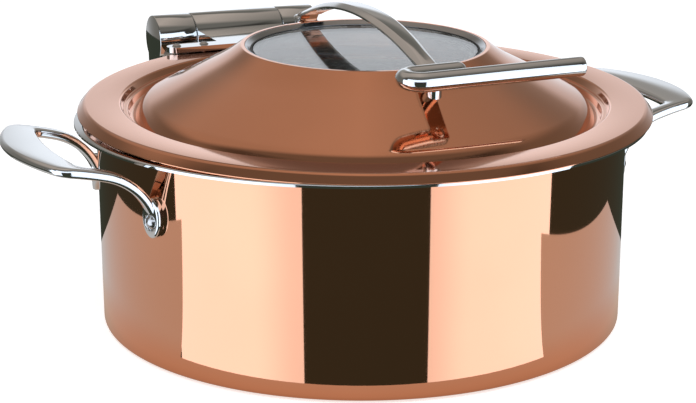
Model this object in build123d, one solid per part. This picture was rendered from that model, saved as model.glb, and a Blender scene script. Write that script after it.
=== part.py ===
# Round chafing dish: a copper-coloured pot with a steel liner, a lift-out food pan and a hinged lid
# with a window. Millimetres, +Z up. The origin is the centre of the base's underside, +X runs along
# the two side handles, and the lid's hinge is at +Y.
import os
from math import cos, radians, sin, sqrt

from build123d import *

# Pot
body_radius = 152.5
shell_wall = 1.0
shell_base_gap = 0.8
shell_corner_radius = 2.5
shell_base_width = 13.0
liner_gap = 0.2
liner_wall = 0.8
liner_corner_radius = 9.0
wall_height = 119.6
base_thickness = 7.0
base_cap_wall = 1.2
base_cap_gap = 0.4

# Rim that closes the top of the pot and carries the food pan
rim_radius = 165.0
rim_low_z = 117.9
rim_seat_z = 120.4
rim_inner_radius = 148.6
rim_seat_radius = 155.8
rim_top_z = 121.0
rim_top_radius = 160.4
rim_bulge = (163.3, 120.15)
rim_edge_height = 0.8
rim_under_radius = 154.0

# Food pan
pan_wall = 1.2
pan_depth = 64.0
pan_top_radius = 142.8
pan_draft = 3.0
pan_corner_radius = 10.0
pan_bend_radius = 2.6
pan_flange_gap = 0.3

# Side handles
handle_foot_angle = 20.0
handle_foot_z = 84.5
foot_width = 14.0
foot_height = 22.0
foot_thickness = 3.8
foot_pad_rise = 2.0
foot_recess_depth = 1.0
arm_width = 10.0
arm_depth = 5.4
arm_fillet = 1.5
arm_root_rise = 6.0
arm_shoulder_reach = 26.0
arm_shoulder_rise = 27.3
arm_shoulder_slope = 0.28
grip_rise = 34.2
grip_overrun = 4.0
grip_outer_reach = 209.0
grip_blade_width = 24.0
grip_bow = 15.0
grip_half_length = 56.0
grip_corner_radius = 10.0
opening_bow = 4.0
opening_corner_radius = 5.0
screw_radius = 2.5
screw_clearance = 0.2
screw_head_radius = 4.0
screw_head_height = 2.8
nut_radius = 4.6
nut_height = 3.4

# Lid, drawn flat in its own frame, whose Z is 0 at the plane of its lower edge
lid_z = 125.5
lid_tilt = 1.6
lid_shift_x = 1.5
lid_shift_y = -0.5
lid_wall = 1.0
lid_radius = 165.2
lid_lip_z = -0.8
flange_edge_z = 0.3
flange_brow = (152.5, 3.6)
flange_crown = (140.6, 2.9)
step_outer = (139.1, -1.0)
step_inner = (135.6, -1.0)
trough_foot = (132.3, -7.0)
dome_shoulder = (120.1, 7.1)
dome_neck = (82.5, 25.9)
window_edge_radius = 71.6
window_edge_z = 33.8
flange_edge_bend = 1.05
flange_brow_bend = 30.0
crown_bend = 1.8
step_bend = 0.6
step_inner_bend = 1.6
trough_bend = 1.5
shoulder_bend = 62.0
neck_bend = 95.0
window_bend = 1.5

# Bumpers under the lid's flange
bumper_radius = 2.8
bumper_ring_radius = 159.6
bumper_angle = 35.0
bumper_low_z = -0.75
bumper_gap = 0.1

# Window
window_hole_radius = 69.4
frame_gap = 0.1
frame_bevel = 2.2
frame_inner_radius = 66.0
frame_flange_radius = 73.0
frame_flange_z = 25.2
frame_flange_height = 1.3
gasket_wall = 1.0
gasket_seat = 2.8
gasket_lip = 1.2
glass_thickness = 4.0
glass_gap = 0.1
glass_drop = 0.3
retainer_height = 1.4
retainer_inner_radius = 61.0

# Strap over the window
strap_apex_y = 1.0
strap_apex_z = 54.8
strap_arc_radius = 205.0
strap_thickness = 3.6
strap_width = 16.0
strap_foot_width = 10.5
strap_full_width_y = 25.0
strap_front_y = -93.0
strap_front_pad = 12.0
strap_front_top_z = 37.4
strap_rear_y = 97.0
strap_rear_pad = 12.0
strap_rear_top_z = 33.6
strap_pad_thickness = 3.0
post_radius = 4.4
strap_screw_radius = 2.0

# Front grip and the arm that carries it
grip_radius = 5.2
grip_y = -122.0
grip_z = 39.8
grip_right_x = 69.0
grip_left_x = -23.0
grip_bend_radius = 7.6
grip_leg_end_x = 2.5
grip_arm_thickness = 2.8
grip_arm_width = 10.5
grip_arm_overlap = 4.0
grip_screw_depth = 6.0

# Hinge
hinge_y = 208.4
hinge_z = 141.6
barrel_radius = 5.6
barrel_half_length = 31.2
barrel_gap = 0.3
barrel_wall = 1.1
pin_radius = 3.0
running_gap = 0.05
press_gap = 0.02
bush_length = 11.0
brake_gap = 0.3
cheek_inner_x = 54.5
cheek_thickness = 3.0
cheek_width = 32.0
cheek_top_gap = 0.2
cheek_low_z = 94.0
cheek_bore_depth = 2.0
leaf_thickness = 3.4
leaf_gap = 0.1
leaf_bar_y = 151.0
leaf_bar_width = 11.0
leaf_bar_half_length = 67.0
leaf_screw_x = 42.0
leaf_stud_x = 60.5
leaf_stud_depth = 2.0
leaf_screw_radius = 1.8
bracket_plate_z = 98.0
bracket_plate_thickness = 4.0
bracket_pad_drop = 26.0
bracket_pad_thickness = 3.0
bracket_pad_half_width = 44.0
bracket_rear_margin = 4.0
bracket_screw_angle = 11.0
bracket_screw_drop = 13.0

# Sizes that follow from the ones above
shell_inner_radius = body_radius - shell_wall
liner_radius = shell_inner_radius - liner_gap
liner_inner_radius = liner_radius - liner_wall
base_radius = body_radius - shell_base_width
pan_seat_radius = rim_seat_radius - pan_flange_gap
flange_top_z = max(flange_brow[1], flange_crown[1])
lid_seat = Location((lid_shift_x, lid_shift_y, lid_z)) * Rotation(lid_tilt, 0, 0)


def turned(outline):
    """Solid turned about Z from a closed outline of radius and height."""
    return revolve(Plane.XZ * make_face(outline), Axis.Z)


def turned_polygon(*points):
    """Solid turned about Z from corner points of radius and height."""
    return turned(Polyline(*points, close=True))


def thick_line(path, thickness, side):
    """Face between an open path and its parallel on one side."""
    return make_face(offset(path, amount=thickness, side=side))


def rod(radius, start, end):
    """Round bar between two points."""
    axis = Vector(*end) - Vector(*start)
    plane = Plane(origin=start, z_dir=axis)
    return extrude(plane * Circle(radius), axis.length)


def hex_nut(hole, width, height):
    """Six-sided nut that stands on the XY plane."""
    return extrude(RegularPolygon(width, 6) - Circle(hole), height)


def dome_head(radius, height):
    """Dome-shaped screw head that stands on the XY plane."""
    sphere = (radius**2 + height**2) / (2 * height)
    ball = Pos(0, 0, height - sphere) * Sphere(sphere)
    return ball & Pos(0, 0, height / 2) * Cylinder(radius + 1, height)


def dome_screw(shank, length, head, height):
    """Dome-head screw along Z, with the head's underside at Z = 0 and the shank below it."""
    return dome_head(head, height) + Pos(0, 0, -length / 2) * Cylinder(shank, length)


# Pot

def outer_shell():
    """Copper-coloured outer wall, curled in under the base."""
    path = Polyline(
        (base_radius + base_cap_gap, shell_base_gap),
        (body_radius, shell_base_gap),
        (body_radius, wall_height),
    )
    path = fillet(path.vertices().sort_by(Axis.X)[-2:].sort_by(Axis.Y)[:1], shell_corner_radius)
    return revolve(Plane.XZ * thick_line(path, shell_wall, Side.LEFT), Axis.Z)


def inner_pot():
    """Steel liner that holds the water."""
    path = Polyline((0, base_thickness), (liner_radius, base_thickness), (liner_radius, wall_height))
    path = fillet(path.vertices().sort_by(Axis.X)[-2:].sort_by(Axis.Y)[:1], liner_corner_radius)
    return revolve(Plane.XZ * thick_line(path, liner_wall, Side.LEFT), Axis.Z)


def base_core():
    """Aluminium disc that spreads the heat."""
    radius = base_radius - base_cap_wall
    return Pos(0, 0, base_cap_wall) * extrude(Circle(radius), base_thickness - base_cap_wall)


def base_cap():
    """Magnetic steel cup that closes the core underneath."""
    return turned_polygon(
        (0, 0),
        (base_radius, 0),
        (base_radius, base_thickness),
        (base_radius - base_cap_wall, base_thickness),
        (base_radius - base_cap_wall, base_cap_wall),
        (0, base_cap_wall),
    )


def rim_ring():
    """Polished rim with a convex outer face and a seat for the pan's flange."""
    edge = (rim_radius, rim_low_z + rim_edge_height)
    top = (rim_top_radius, rim_top_z)
    outline = Curve() + [
        Polyline(edge, (rim_radius, rim_low_z + 0.3), (rim_radius - 0.6, rim_low_z),
                 (rim_under_radius, rim_low_z), (rim_under_radius, wall_height),
                 (rim_inner_radius, wall_height), (rim_inner_radius, rim_seat_z),
                 (rim_seat_radius, rim_seat_z), (rim_seat_radius, rim_top_z - 0.3),
                 (rim_seat_radius + 0.3, rim_top_z), top),
        ThreePointArc(top, rim_bulge, edge),
    ]
    return turned(outline)


def food_pan():
    """Round food pan that hangs by its flange in the rim."""
    top_z = rim_seat_z + pan_wall
    floor_z = top_z - pan_depth
    path = Polyline(
        (0, floor_z),
        (pan_top_radius - pan_draft, floor_z),
        (pan_top_radius, top_z),
        (pan_seat_radius, top_z),
    )
    corner = path.vertices().sort_by(Axis.X)[1]
    path = fillet(corner, pan_corner_radius)
    bend = path.vertices().sort_by(Axis.X)[-2]
    path = fillet(bend, pan_bend_radius)
    return revolve(Plane.XZ * thick_line(path, pan_wall, Side.RIGHT), Axis.Z)


# Side handles

def foot_frame(side, end, radius):
    """Frame on the pot's wall at a foot, with its Z pointing out of the pot."""
    angle = end * handle_foot_angle if side > 0 else 180 - end * handle_foot_angle
    out = Vector(cos(radians(angle)), sin(radians(angle)), 0)
    return Plane(origin=out * radius + Vector(0, 0, handle_foot_z), x_dir=(0, 0, 1), z_dir=out)


def handle_side_face():
    """Side view of the handle: arms that rise off the wall and level out into the grip."""
    foot_x = body_radius * cos(radians(handle_foot_angle))
    start = (foot_x + foot_thickness / 2, handle_foot_z + arm_root_rise)
    shoulder = (foot_x + arm_shoulder_reach, handle_foot_z + arm_shoulder_rise)
    end = (grip_outer_reach + grip_overrun, handle_foot_z + grip_rise)
    rise = TangentArc(shoulder, start, tangent=(-1, -arm_shoulder_slope))
    reach = TangentArc(shoulder, end, tangent=(1, arm_shoulder_slope))
    return make_face(offset(Curve() + [rise, reach], amount=arm_depth / 2, side=Side.BOTH))


def bowed_face(root_x, half, corner_x, bow, radius):
    """Plan outline with a straight root, two straight sides and a bowed, round-cornered end."""
    outline = Curve() + [
        Polyline((corner_x, -half), (root_x, -half), (root_x, half), (corner_x, half)),
        ThreePointArc((corner_x, half), (corner_x + bow, 0), (corner_x, -half)),
    ]
    face = make_face(outline)
    corners = face.vertices().sort_by(Axis.X)[-2:]
    return fillet(corners, radius)


def handle_plan_face():
    """Plan view of the handle: two arms joined by a broad crescent, with a finger opening."""
    root_x = body_radius * cos(radians(handle_foot_angle)) - foot_width / 2
    outline = bowed_face(root_x, grip_half_length, grip_outer_reach - grip_bow, grip_bow, grip_corner_radius)
    inner_x = grip_outer_reach - grip_blade_width - opening_bow
    inner_half = grip_half_length - arm_width
    return outline - bowed_face(root_x - arm_width, inner_half, inner_x, opening_bow, opening_corner_radius)


def side_handle(side):
    """Cast handle with its two feet."""
    band = extrude(Plane.XZ * handle_side_face(), grip_half_length + arm_width, both=True)
    plan = Pos(0, 0, handle_foot_z - arm_root_rise) * extrude(handle_plan_face(), foot_height * 3)
    body = band & plan
    body = fillet(body.edges().filter_by(lambda e: e.length > arm_depth), arm_fillet)
    for end in (-1, 1):
        plane = foot_frame(1, end, body_radius)
        pad = extrude(plane * Pos(foot_pad_rise, 0) * Ellipse(foot_height / 2, foot_width / 2), foot_thickness)
        body += pad
    body -= Cylinder(body_radius + 0.02, wall_height * 4)
    for end in (-1, 1):
        top = foot_frame(1, end, body_radius + foot_thickness)
        body -= extrude(top * Circle(screw_radius + screw_clearance), foot_thickness * 3, both=True)
        recess = Circle(screw_head_radius + 0.6)
        body -= extrude(top.offset(-foot_recess_depth) * recess, foot_thickness * 4)
    return body if side > 0 else mirror(body, Plane.YZ)


def screw_holes(target, radius):
    """Target with the holes for the handle screws drilled through its wall."""
    for side in (-1, 1):
        for end in (-1, 1):
            plane = foot_frame(side, end, body_radius)
            target -= extrude(plane * Circle(radius), shell_wall * 6, both=True)
    for sign in (-1, 1):
        plane = bracket_frame(sign, body_radius)
        target -= extrude(plane * Circle(radius), shell_wall * 6, both=True)
    return target


def handle_screws():
    """Dome-head screws in the recesses of the four feet."""
    seat = body_radius + foot_thickness - foot_recess_depth
    length = seat - liner_inner_radius + nut_height
    screw = dome_screw(screw_radius, length, screw_head_radius, screw_head_height)
    places = [foot_frame(side, end, seat) for side in (-1, 1) for end in (-1, 1)]
    return [place.location * screw for place in places]


def handle_nuts():
    """Nuts inside the liner, one for each handle screw."""
    nut = Rot(180, 0, 0) * hex_nut(screw_radius, nut_radius, nut_height)
    seat = nut_seat_radius()
    places = [foot_frame(side, end, seat) for side in (-1, 1) for end in (-1, 1)]
    return [place.location * nut for place in places]


def nut_seat_radius():
    """Distance from the pot's axis at which a flat nut clears the liner's curved wall."""
    return sqrt(liner_inner_radius**2 - nut_radius**2) - 0.02


# Hinge, pot side

def bracket_frame(sign, radius):
    """Frame on the pot's wall at a bracket screw, with its Z pointing out of the pot."""
    angle = 90 + sign * bracket_screw_angle
    out = Vector(cos(radians(angle)), sin(radians(angle)), 0)
    height = bracket_plate_z - bracket_screw_drop
    return Plane(origin=out * radius + Vector(0, 0, height), x_dir=(0, 0, 1), z_dir=out)


def hinge_bracket():
    """Shelf behind the rim with a pad that is screwed to the pot's wall."""
    rear = hinge_y + cheek_width / 2 - bracket_rear_margin
    half = cheek_inner_x - 0.05
    shelf = Pos(0, (body_radius * 0.8 + rear) / 2, bracket_plate_z + bracket_plate_thickness / 2) * Box(
        2 * half, rear - body_radius * 0.8, bracket_plate_thickness)
    low = bracket_plate_z - bracket_pad_drop
    pad = Pos(0, 0, low) * extrude(Circle(body_radius + bracket_pad_thickness), bracket_pad_drop)
    pad &= Pos(0, body_radius, low + bracket_pad_drop / 2) * Box(
        2 * bracket_pad_half_width, body_radius, bracket_pad_drop)
    body = shelf + pad
    body -= Cylinder(body_radius + 0.02, wall_height * 4)
    for sign in (-1, 1):
        plane = bracket_frame(sign, body_radius)
        body -= extrude(plane * Circle(screw_radius + screw_clearance), bracket_pad_thickness * 3, both=True)
    return body


def bracket_screws():
    """Screws that hold the bracket's pad to the pot."""
    seat = body_radius + bracket_pad_thickness
    length = seat - liner_inner_radius + nut_height
    screw = dome_screw(screw_radius, length, screw_head_radius, screw_head_height)
    return [bracket_frame(sign, seat).location * screw for sign in (-1, 1)]


def bracket_nuts():
    """Nuts inside the liner for the bracket's screws."""
    nut = Rot(180, 0, 0) * hex_nut(screw_radius, nut_radius, nut_height)
    return [bracket_frame(sign, nut_seat_radius()).location * nut for sign in (-1, 1)]


def cheek(side):
    """Oval end plate that holds one end of the hinge pin."""
    top = hinge_z + barrel_radius + cheek_top_gap
    centre_z = top - cheek_width / 2
    face = Pos(hinge_y, centre_z) * Circle(cheek_width / 2)
    face += Pos(hinge_y, (centre_z + cheek_low_z) / 2) * Rectangle(cheek_width, centre_z - cheek_low_z)
    plate = extrude(Plane.YZ * face, cheek_thickness)
    bore = Pos(0, hinge_y, hinge_z) * Rot(0, 90, 0) * Cylinder(
        pin_radius + running_gap, 2 * cheek_bore_depth)
    body = Pos(cheek_inner_x, 0, 0) * (plate - bore)
    return body if side > 0 else mirror(body, Plane.YZ)


def outer_knuckles():
    """Fixed lengths of the hinge barrel, one beside each cheek."""
    inner = barrel_half_length + barrel_gap
    outer = cheek_inner_x - 0.05
    tube = extrude(Plane.YZ * (Circle(barrel_radius) - Circle(pin_radius + running_gap)), outer - inner)
    right = Pos(inner, hinge_y, hinge_z) * tube
    return [right, mirror(right, Plane.YZ)]


def hinge_pin():
    """Pin through all the knuckles, closed in by the cheeks."""
    half = cheek_inner_x + cheek_bore_depth - 0.1
    return rod(pin_radius, (-half, hinge_y, hinge_z), (half, hinge_y, hinge_z))


# Hinge, lid side

def hinge_in_lid():
    """Hinge axis as Y and Z in the lid's own frame."""
    local = lid_seat.inverse() * Pos(0, hinge_y, hinge_z)
    return local.position.Y, local.position.Z


def lid_hinge_leaf():
    """T-shaped plate screwed to the lid's flange, with the middle knuckle at its rear."""
    axis_y, axis_z = hinge_in_lid()
    under_z = flange_top_z + leaf_gap
    bar = SlotOverall(2 * leaf_bar_half_length, leaf_bar_width)
    stem_length = axis_y - leaf_bar_y
    face = Pos(0, leaf_bar_y) * bar + Pos(0, leaf_bar_y + stem_length / 2) * Rectangle(
        2 * barrel_half_length, stem_length)
    plate = Pos(-lid_shift_x, 0, under_z) * extrude(face, leaf_thickness)
    barrel = Pos(-lid_shift_x, axis_y, axis_z) * Rot(0, 90, 0) * Cylinder(
        barrel_radius, 2 * barrel_half_length)
    bore = Pos(-lid_shift_x, axis_y, axis_z) * Rot(0, 90, 0) * Cylinder(
        barrel_radius - barrel_wall, 2 * barrel_half_length + 2)
    body = plate + barrel - bore
    for x in leaf_screw_places():
        hole = Pos(x, leaf_bar_y, under_z) * Cylinder(leaf_screw_radius + screw_clearance, leaf_thickness * 4)
        body -= hole
    for sign in (-1, 1):
        x = sign * leaf_stud_x - lid_shift_x
        seat = under_z + leaf_thickness
        body -= Pos(x, leaf_bar_y, seat) * Cylinder(leaf_screw_radius + press_gap, 2 * leaf_stud_depth + 0.1)
    return lid_seat * body


def leaf_screw_places():
    """X of each leaf screw in the lid's frame."""
    return [sign * leaf_screw_x - lid_shift_x for sign in (-1, 1)]


def leaf_studs():
    """Short dome-head studs near the ends of the leaf's bar."""
    seat = flange_top_z + leaf_gap + leaf_thickness
    stud = dome_screw(leaf_screw_radius, leaf_stud_depth, screw_head_radius * 0.75, screw_head_height * 0.6)
    places = [sign * leaf_stud_x - lid_shift_x for sign in (-1, 1)]
    return [lid_seat * Pos(x, leaf_bar_y, seat) * stud for x in places]


def leaf_screws():
    """Screws from the leaf down through the flange."""
    seat = flange_top_z + leaf_gap + leaf_thickness
    length = leaf_thickness + flange_top_z - flange_edge_z + lid_wall + nut_height * 0.7
    screw = dome_screw(leaf_screw_radius, length, screw_head_radius * 0.75, screw_head_height * 0.6)
    return [lid_seat * Pos(x, leaf_bar_y, seat) * screw for x in leaf_screw_places()]


def leaf_nuts():
    """Nuts under the flange for the leaf's screws, each just clear of the sloping sheet."""
    height = nut_height * 0.7
    width = nut_radius * 0.7
    nut = hex_nut(leaf_screw_radius, width, height)
    nuts = []
    for x in leaf_screw_places():
        reach = sqrt(x**2 + leaf_bar_y**2) + width
        low = flange_height(reach) - 1.4 * lid_wall - height
        nuts.append(lid_seat * Pos(x, leaf_bar_y, low) * nut)
    return nuts


def flange_height(radius):
    """Height of the flange's upper face outside its brow."""
    share = (radius - flange_brow[0]) / (lid_radius - flange_brow[0])
    return flange_brow[1] + max(share, 0) * (flange_edge_z - flange_brow[1])


def hinge_bushes():
    """Plain bushes that carry the middle knuckle on the pin."""
    outer = barrel_radius - barrel_wall - press_gap
    tube = extrude(Plane.YZ * (Circle(outer) - Circle(pin_radius + running_gap)), bush_length)
    right = Pos(barrel_half_length - bush_length, hinge_y, hinge_z) * tube
    return [right, mirror(right, Plane.YZ)]


def brake_sleeve():
    """Friction sleeve on the pin, between the bushes, that holds the lid at any angle."""
    half = barrel_half_length - bush_length - brake_gap
    tube = Circle(barrel_radius - barrel_wall - press_gap) - Circle(pin_radius + running_gap)
    return Pos(-half, hinge_y, hinge_z) * extrude(Plane.YZ * tube, 2 * half)


# Lid

def lid_top_path():
    """Upper face of the lid from its lower edge in to the window, as lines and arcs."""
    corners = [
        ((lid_radius, flange_edge_z), flange_edge_bend),
        (flange_brow, flange_brow_bend),
        (flange_crown, crown_bend),
        (step_outer, step_bend),
        (step_inner, step_inner_bend),
        (trough_foot, trough_bend),
        (dome_shoulder, shoulder_bend),
        (dome_neck, neck_bend),
        ((window_edge_radius, window_edge_z), window_bend),
    ]
    points = [corner for corner, bend in corners]
    path = Polyline((lid_radius, lid_lip_z), *points, (window_hole_radius, window_edge_z))
    for corner, bend in corners:
        vertex = path.vertices().sort_by_distance((*corner, 0))[0]
        path = fillet(vertex, bend)
    return path


def lid_shell():
    """Pressed copper-coloured lid: flange, trough, dome and the turned-in edge of the window."""
    shell = revolve(Plane.XZ * thick_line(lid_top_path(), lid_wall, Side.LEFT), Axis.Z)
    for x in leaf_screw_places():
        shell -= Pos(x, leaf_bar_y, flange_top_z) * Cylinder(
            leaf_screw_radius + screw_clearance, lid_wall * 14)
    for y in strap_screw_places():
        shell -= Pos(0, y, dome_neck[1]) * Cylinder(strap_screw_radius + screw_clearance, window_edge_z)
    return lid_seat * shell


def lid_bumpers():
    """Soft buttons under the front of the flange that land on the rim."""
    bumpers = []
    for angle in (-90 - bumper_angle, -90 + bumper_angle):
        place = Rot(0, 0, angle) * Pos(bumper_ring_radius, 0, 0)
        top = Pos(0, 0, bumper_low_z) * extrude(Circle(bumper_radius), flange_top_z)
        under = Pos(0, 0, -lid_wall - bumper_gap) * below_dome()
        bumpers.append(lid_seat * ((place * top) & under))
    return bumpers


def window_frame():
    """Bevelled steel ring in the window's hole, with a flange below."""
    outer = window_hole_radius - frame_gap
    top = window_edge_z - 0.2
    bevel_z = top - frame_bevel
    flange_top = frame_flange_z + frame_flange_height
    ring = turned_polygon(
        (outer, top), (outer - 0.6, top), (frame_inner_radius, bevel_z),
        (frame_inner_radius, frame_flange_z), (frame_flange_radius, frame_flange_z),
        (frame_flange_radius, flange_top), (outer, flange_top),
    )
    return lid_seat * ring


def glass_top_z():
    """Height of the glass's upper face in the lid's frame."""
    return window_edge_z - 0.2 - frame_bevel - glass_drop


def window_gasket():
    """Black seal round the glass."""
    top = glass_top_z() + 0.2
    low = glass_top_z() - glass_thickness - gasket_lip
    inner = frame_inner_radius - gasket_wall
    ring = turned_polygon(
        (frame_inner_radius, top), (inner, top), (inner, low + gasket_lip - glass_gap),
        (inner - gasket_seat, low + gasket_lip - glass_gap), (inner - gasket_seat, low),
        (frame_inner_radius, low),
    )
    return lid_seat * ring


def window_glass():
    """Round pane."""
    radius = frame_inner_radius - gasket_wall - glass_gap
    pane = Pos(0, 0, glass_top_z() - glass_thickness) * extrude(Circle(radius), glass_thickness)
    return lid_seat * chamfer(pane.edges(), 0.4)


def glass_retainer():
    """Ring under the frame that holds the gasket in."""
    ring = Circle(frame_flange_radius) - Circle(retainer_inner_radius)
    top = min(frame_flange_z, glass_top_z() - glass_thickness - gasket_lip)
    return lid_seat * Pos(0, 0, top - retainer_height) * extrude(ring, retainer_height)


# Strap over the window

def strap_screw_places():
    """Y of the front and rear strap screws in the lid's frame."""
    return strap_front_y + strap_front_pad / 2, strap_rear_y - strap_rear_pad / 2


def strap_height(y):
    """Top of the strap's arc at a place along it."""
    drop = strap_arc_radius - sqrt(strap_arc_radius**2 - (y - strap_apex_y) ** 2)
    return strap_apex_z - drop


def lid_strap():
    """Bow of flat bar over the window, with a level pad at each end."""
    front = strap_front_y + strap_front_pad
    rear = strap_rear_y - strap_rear_pad
    top = [
        Line((strap_front_y, strap_front_top_z), (front, strap_front_top_z)),
        Line((front, strap_front_top_z), (front + 3, strap_height(front + 3))),
        ThreePointArc((front + 3, strap_height(front + 3)), (strap_apex_y, strap_apex_z),
                      (rear - 3, strap_height(rear - 3))),
        Line((rear - 3, strap_height(rear - 3)), (rear, strap_rear_top_z)),
        Line((rear, strap_rear_top_z), (strap_rear_y, strap_rear_top_z)),
    ]
    low = strap_thickness
    pad = strap_pad_thickness
    under = [
        Line((strap_rear_y, strap_rear_top_z), (strap_rear_y, strap_rear_top_z - pad)),
        Line((strap_rear_y, strap_rear_top_z - pad), (rear - 2, strap_rear_top_z - pad)),
        Line((rear - 2, strap_rear_top_z - pad), (rear - 6, strap_height(rear - 6) - low)),
        ThreePointArc((rear - 6, strap_height(rear - 6) - low), (strap_apex_y, strap_apex_z - low),
                      (front + 6, strap_height(front + 6) - low)),
        Line((front + 6, strap_height(front + 6) - low), (front + 2, strap_front_top_z - pad)),
        Line((front + 2, strap_front_top_z - pad), (strap_front_y, strap_front_top_z - pad)),
        Line((strap_front_y, strap_front_top_z - pad), (strap_front_y, strap_front_top_z)),
    ]
    side = extrude(Plane.YZ * make_face(Curve() + top + under), strap_width, both=True)
    half, foot = strap_width / 2, strap_foot_width / 2
    plan = make_face(Polyline(
        (-foot, strap_front_y), (foot, strap_front_y), (half, -strap_full_width_y),
        (half, strap_full_width_y), (foot, strap_rear_y), (-foot, strap_rear_y),
        (-half, strap_full_width_y), (-half, -strap_full_width_y), close=True))
    body = side & extrude(plan, strap_apex_z * 2)
    for y in strap_screw_places():
        body -= Pos(0, y, strap_apex_z / 2) * Cylinder(strap_screw_radius + screw_clearance, strap_apex_z)
    return lid_seat * body


def strap_posts():
    """Spacers from the dome up to the strap's pads, cut to the dome's slope."""
    places = strap_screw_places()
    tops = (strap_front_top_z - strap_pad_thickness - grip_arm_thickness,
            strap_rear_top_z - strap_pad_thickness)
    under = below_dome()
    posts = []
    for y, top in zip(places, tops):
        post = extrude(Circle(post_radius) - Circle(strap_screw_radius + screw_clearance), top)
        posts.append(lid_seat * (Pos(0, y, 0) * post - under))
    return posts


def below_dome():
    """Everything under the upper face of the lid."""
    floor = trough_foot[1] * 2
    path = lid_top_path()
    closing = Polyline((window_hole_radius, window_edge_z), (0, window_edge_z), (0, floor),
                       (lid_radius, floor), (lid_radius, lid_lip_z))
    return revolve(Plane.XZ * make_face(path.edges() + closing.edges()), Axis.Z)


def dome_height(radius):
    """Height of the dome's upper face at a radius, between its neck and its shoulder."""
    share = (radius - dome_neck[0]) / (dome_shoulder[0] - dome_neck[0])
    return dome_neck[1] + share * (dome_shoulder[1] - dome_neck[1])


def strap_screws():
    """Dome-head screws through the strap's pads and the dome."""
    front, rear = strap_screw_places()
    screws = []
    for y, top in ((front, strap_front_top_z), (rear, strap_rear_top_z)):
        length = top - dome_height(abs(y)) + lid_wall + nut_height + 3
        screw = dome_screw(strap_screw_radius, length, screw_head_radius * 0.8, screw_head_height * 0.8)
        screws.append(lid_seat * Pos(0, y, top) * screw)
    return screws


def strap_nuts():
    """Nuts under the dome for the strap's screws."""
    nut = hex_nut(strap_screw_radius, nut_radius * 0.75, nut_height * 0.8)
    drop = lid_wall + nut_radius * 0.75 * 0.5 + 0.4
    nuts = []
    for y in strap_screw_places():
        top = dome_height(abs(y)) - drop
        nuts.append(lid_seat * Pos(0, y, top - nut_height * 0.8) * nut)
    return nuts


# Front grip

def grip_leg_y():
    """Y of the grip's short return leg."""
    return grip_y + 2 * grip_bend_radius


def grip_arm():
    """Flat arm from under the strap's front pad out to the grip's return leg."""
    top = strap_front_top_z - strap_pad_thickness
    rear = strap_front_y + strap_front_pad
    front = grip_leg_y() - grip_arm_overlap
    plate = Pos(0, (front + rear) / 2, top - grip_arm_thickness / 2) * Box(
        grip_arm_width, rear - front, grip_arm_thickness)
    for y in (strap_screw_places()[0], grip_leg_y()):
        plate -= Pos(0, y, top) * Cylinder(strap_screw_radius + screw_clearance, grip_arm_thickness * 4)
    return lid_seat * plate


def front_grip():
    """Polished round bar whose left end turns back into a short leg."""
    leg_y = grip_leg_y()
    middle_y = grip_y + grip_bend_radius
    path = Curve() + [
        Line((grip_right_x, grip_y), (grip_left_x, grip_y)),
        ThreePointArc((grip_left_x, grip_y), (grip_left_x - grip_bend_radius, middle_y), (grip_left_x, leg_y)),
        Line((grip_left_x, leg_y), (grip_leg_end_x, leg_y)),
    ]
    path = Pos(0, 0, grip_z) * Wire(path)
    section = Plane(origin=path @ 0, z_dir=path % 0) * Circle(grip_radius)
    bar = sweep(section, path=path)
    bar += Pos(grip_leg_end_x, leg_y, grip_z) * Sphere(grip_radius)
    arm_top = strap_front_top_z - strap_pad_thickness
    seat = Pos(0, leg_y, arm_top - grip_radius) * Box(grip_arm_width + 0.1, grip_radius * 2.4, grip_radius * 2)
    hole = Pos(0, leg_y, arm_top) * Cylinder(strap_screw_radius + screw_clearance, 2 * grip_screw_depth + 1)
    return lid_seat * (bar - seat - hole)


def grip_screw():
    """Screw from under the arm up into the grip's leg."""
    y = grip_leg_y()
    low = strap_front_top_z - strap_pad_thickness - grip_arm_thickness
    length = grip_arm_thickness + grip_screw_depth
    screw = dome_screw(strap_screw_radius, length, screw_head_radius * 0.75, screw_head_height * 0.5)
    return lid_seat * Pos(0, y, low) * Rot(180, 0, 0) * screw


shapes = {
    "outer_shell": screw_holes(outer_shell(), screw_radius + screw_clearance),
    "inner_pot": screw_holes(inner_pot(), screw_radius + screw_clearance),
    "base_core": base_core(),
    "base_cap": base_cap(),
    "rim_ring": rim_ring(),
    "food_pan": food_pan(),
    "left_handle": side_handle(-1),
    "right_handle": side_handle(1),
    "handle_screws": handle_screws(),
    "handle_nuts": handle_nuts(),
    "hinge_bracket": hinge_bracket(),
    "bracket_screws": bracket_screws(),
    "bracket_nuts": bracket_nuts(),
    "left_cheek": cheek(-1),
    "right_cheek": cheek(1),
    "outer_knuckles": outer_knuckles(),
    "hinge_pin": hinge_pin(),
    "lid_hinge_leaf": lid_hinge_leaf(),
    "leaf_screws": leaf_screws(),
    "leaf_nuts": leaf_nuts(),
    "leaf_studs": leaf_studs(),
    "hinge_bushes": hinge_bushes(),
    "brake_sleeve": brake_sleeve(),
    "lid_shell": lid_shell(),
    "lid_bumpers": lid_bumpers(),
    "window_frame": window_frame(),
    "window_gasket": window_gasket(),
    "window_glass": window_glass(),
    "glass_retainer": glass_retainer(),
    "lid_strap": lid_strap(),
    "strap_posts": strap_posts(),
    "strap_screws": strap_screws(),
    "strap_nuts": strap_nuts(),
    "grip_arm": grip_arm(),
    "front_grip": front_grip(),
    "grip_screw": grip_screw(),
}

os.makedirs("parts", exist_ok=True)
for name, shape in shapes.items():
    whole = Compound(children=list(shape)) if isinstance(shape, list) else shape
    export_step(whole, f"parts/{name}.step")
    print(name, round(whole.volume), "mm3")
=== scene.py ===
"""Looks of a round copper-coloured chafing dish with a hinged, windowed lid.

The dish's sizes are in millimetres in the fields below and become metres in the meshes. The studio's
are in metres. The origin is the centre of the base's underside, +X runs along the side handles and +Y
towards the hinge.
"""

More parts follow.
